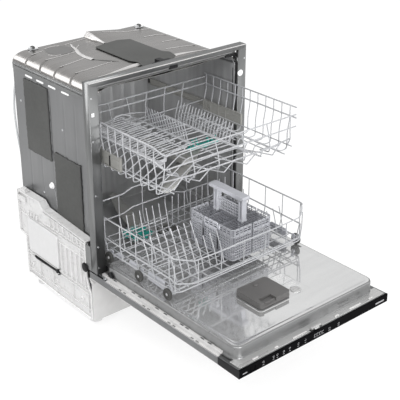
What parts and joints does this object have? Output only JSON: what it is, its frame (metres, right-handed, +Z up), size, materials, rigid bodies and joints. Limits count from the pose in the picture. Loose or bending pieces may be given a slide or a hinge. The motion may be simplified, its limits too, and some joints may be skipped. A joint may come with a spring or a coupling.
{
  "type": "built in dishwasher",
  "caption": "Built-in 60 cm dishwasher with its door lowered and both wire baskets drawn out over the door",
  "frame": {"origin": "on the floor, under the middle of the box that holds the open machine", "axes": "+X to the right seen from the front, +Y into the machine towards the wall, +Z up; the lowered door points along -Y"},
  "size_m": [0.598, 1.126, 0.815],
  "materials": {
    "stainless": "pressed stainless sheet, satin outside, bright inside",
    "frame_steel": "satin stainless front frame",
    "bitumen": "matt sound-damping mat",
    "tray_plastic": "milky polypropylene",
    "plinth_plastic": "matt warm grey",
    "black_plastic": "moulded black",
    "seal_rubber": "soft black seal",
    "door_liner": "bright pressed stainless",
    "door_sheet": "light zinc-coated sheet",
    "strip_gloss": "piano black",
    "coated_wire": "light grey nylon coating on steel wire",
    "basket_plastic": "lilac grey moulding",
    "arm_plastic": "warm light grey moulding",
    "teal_plastic": "teal moulding",
    "wheel_plastic": "dark grey moulding",
    "lid_plastic": "dark grey moulding"
  },
  "bodies": {
    "cabinet": {"base_tray": "tray_plastic", "tub_top": "stainless", "tub_wall_left": "stainless", "tub_wall_right": "stainless", "tub_back": "stainless", "tub_floor": "stainless", "front_frame": "frame_steel", "door_gasket": "seal_rubber", "door_catch": "black_plastic", "pad_left_rear": "bitumen", "pad_left_front": "bitumen", "pad_top": "bitumen", "plinth_panel": "plinth_plastic", "foot_front_left": "black_plastic", "foot_front_right": "black_plastic", "foot_rear_left": "black_plastic", "foot_rear_right": "black_plastic", "circulation_pump": "frame_steel", "drain_pump": "black_plastic", "sump": "black_plastic", "softener": "tray_plastic", "rear_hose": "plinth_plastic", "upper_feed_spout": "arm_plastic", "rail_left": "stainless", "rail_right": "stainless", "hinge_plate_left": "stainless", "hinge_plate_right": "stainless"},
    "door": {"door_outer_panel": "door_sheet", "control_panel": "strip_gloss", "door_inner_liner": "door_liner", "dispenser_housing": "arm_plastic"},
    "upper_basket": {"upper_side_left": "coated_wire", "upper_side_right": "coated_wire", "upper_floor": "coated_wire", "upper_front": "coated_wire", "upper_back": "coated_wire", "height_adjuster_left": "arm_plastic", "height_adjuster_right": "arm_plastic", "upper_water_pipe": "arm_plastic"},
    "lower_basket": {"lower_side_left": "coated_wire", "lower_side_right": "coated_wire", "lower_floor": "coated_wire", "lower_front": "coated_wire", "lower_back": "coated_wire"},
    "power_key": {"power_key": "strip_gloss"},
    "dispenser_lid": {"dispenser_lid": "lid_plastic"},
    "rinse_cap": {"rinse_cap": "lid_plastic"},
    "upper_spray_arm": {"upper_spray_arm": "arm_plastic"},
    "upper_satellite": {"upper_satellite": "teal_plastic"},
    "upper_tines": {"upper_tines": "coated_wire"},
    "cup_shelf": {"cup_shelf": "coated_wire"},
    "lower_spray_arm": {"lower_spray_arm": "arm_plastic"},
    "lower_satellite": {"lower_satellite": "teal_plastic"},
    "lower_tines": {"lower_tines": "coated_wire"},
    "filter_cylinder": {"filter_cylinder": "arm_plastic"},
    "salt_cap": {"salt_cap": "basket_plastic"},
    "cutlery_basket": {"cutlery_basket": "basket_plastic"},
    "wheelset_front": {"wheelset_front": "wheel_plastic"},
    "wheelset_middle": {"wheelset_middle": "wheel_plastic"},
    "wheelset_rear": {"wheelset_rear": "wheel_plastic"}
  },
  "joints": [
    {"name": "door_hinge", "type": "hinge", "parent": "cabinet", "child": "door", "pos_m": [0, 0.044, 0.205], "axis": [-1, 0, 0], "range_deg": [0, 0.19]},
    {"name": "upper_basket_slide", "type": "slide", "parent": "cabinet", "child": "upper_basket", "axis": [0, 1, 0], "range_m": [-0.1, 0.29]},
    {"name": "lower_basket_slide", "type": "slide", "parent": "cabinet", "child": "lower_basket", "axis": [0, 1, 0], "range_m": [-0.085, 0.353]},
    {"name": "wheel_roll_front", "type": "hinge", "parent": "lower_basket", "child": "wheelset_front", "pos_m": [0, -0.219, 0.259], "axis": [1, 0, 0], "range_deg": [-1130, 275]},
    {"name": "wheel_roll_middle", "type": "hinge", "parent": "lower_basket", "child": "wheelset_middle", "pos_m": [0, -0.086, 0.259], "axis": [1, 0, 0], "range_deg": [-1130, 275]},
    {"name": "wheel_roll_rear", "type": "hinge", "parent": "lower_basket", "child": "wheelset_rear", "pos_m": [0, 0.061, 0.259], "axis": [1, 0, 0], "range_deg": [-1130, 275]},
    {"name": "lower_arm_spin", "type": "hinge", "parent": "cabinet", "child": "lower_spray_arm", "pos_m": [0, 0.311, 0.2], "axis": [0, 0, 1], "continuous": true},
    {"name": "lower_satellite_spin", "type": "hinge", "parent": "lower_spray_arm", "child": "lower_satellite", "pos_m": [-0.06781, 0.17683, 0.225], "axis": [0, 0, 1], "continuous": true},
    {"name": "upper_arm_spin", "type": "hinge", "parent": "upper_basket", "child": "upper_spray_arm", "pos_m": [0, 0.021, 0.505], "axis": [0, 0, 1], "continuous": true},
    {"name": "upper_satellite_spin", "type": "hinge", "parent": "upper_spray_arm", "child": "upper_satellite", "pos_m": [0.1349, 0.08734, 0.51], "axis": [0, 0, 1], "continuous": true},
    {"name": "dispenser_lid_slide", "type": "slide", "parent": "door", "child": "dispenser_lid", "axis": [1, 0, 0], "range_m": [0, 0.055]},
    {"name": "rinse_cap_turn", "type": "hinge", "parent": "door", "child": "rinse_cap", "pos_m": [0.062, -0.419, 0.239], "axis": [0, 0, 1], "range_deg": [0, 90]},
    {"name": "power_key_press", "type": "slide", "parent": "door", "child": "power_key", "axis": [0, 1, 0], "range_m": [0, 0.001], "stiffness_N_per_m": 400, "springref_m": -0.002},
    {"name": "upper_tines_fold", "type": "hinge", "parent": "upper_basket", "child": "upper_tines", "pos_m": [0.024, 0.12, 0.574], "axis": [0, -1, 0], "range_deg": [0, 75]},
    {"name": "cup_shelf_fold", "type": "hinge", "parent": "upper_basket", "child": "cup_shelf", "pos_m": [-0.236, 0.03, 0.618], "axis": [0, -1, 0], "range_deg": [0, 80]},
    {"name": "lower_tines_fold", "type": "hinge", "parent": "lower_basket", "child": "lower_tines", "pos_m": [-0.12, 0.051, 0.274], "axis": [-1, 0, 0], "range_deg": [0, 75]},
    {"name": "cutlery_lift", "type": "slide", "parent": "lower_basket", "child": "cutlery_basket", "axis": [0, 0, 1], "range_m": [0, 0.035]},
    {"name": "filter_turn", "type": "hinge", "parent": "cabinet", "child": "filter_cylinder", "pos_m": [0.105, 0.221, 0.12], "axis": [0, 0, 1], "range_deg": [0, 60]},
    {"name": "salt_cap_turn", "type": "hinge", "parent": "cabinet", "child": "salt_cap", "pos_m": [-0.15, 0.321, 0.174], "axis": [0, 0, 1], "range_deg": [0, 120]}
  ],
  "couplings": [
    {"joint": "wheel_roll_front", "follows": "lower_basket_slide", "rad_per_m": -55.556},
    {"joint": "wheel_roll_middle", "follows": "lower_basket_slide", "rad_per_m": -55.556},
    {"joint": "wheel_roll_rear", "follows": "lower_basket_slide", "rad_per_m": -55.556}
  ]
}
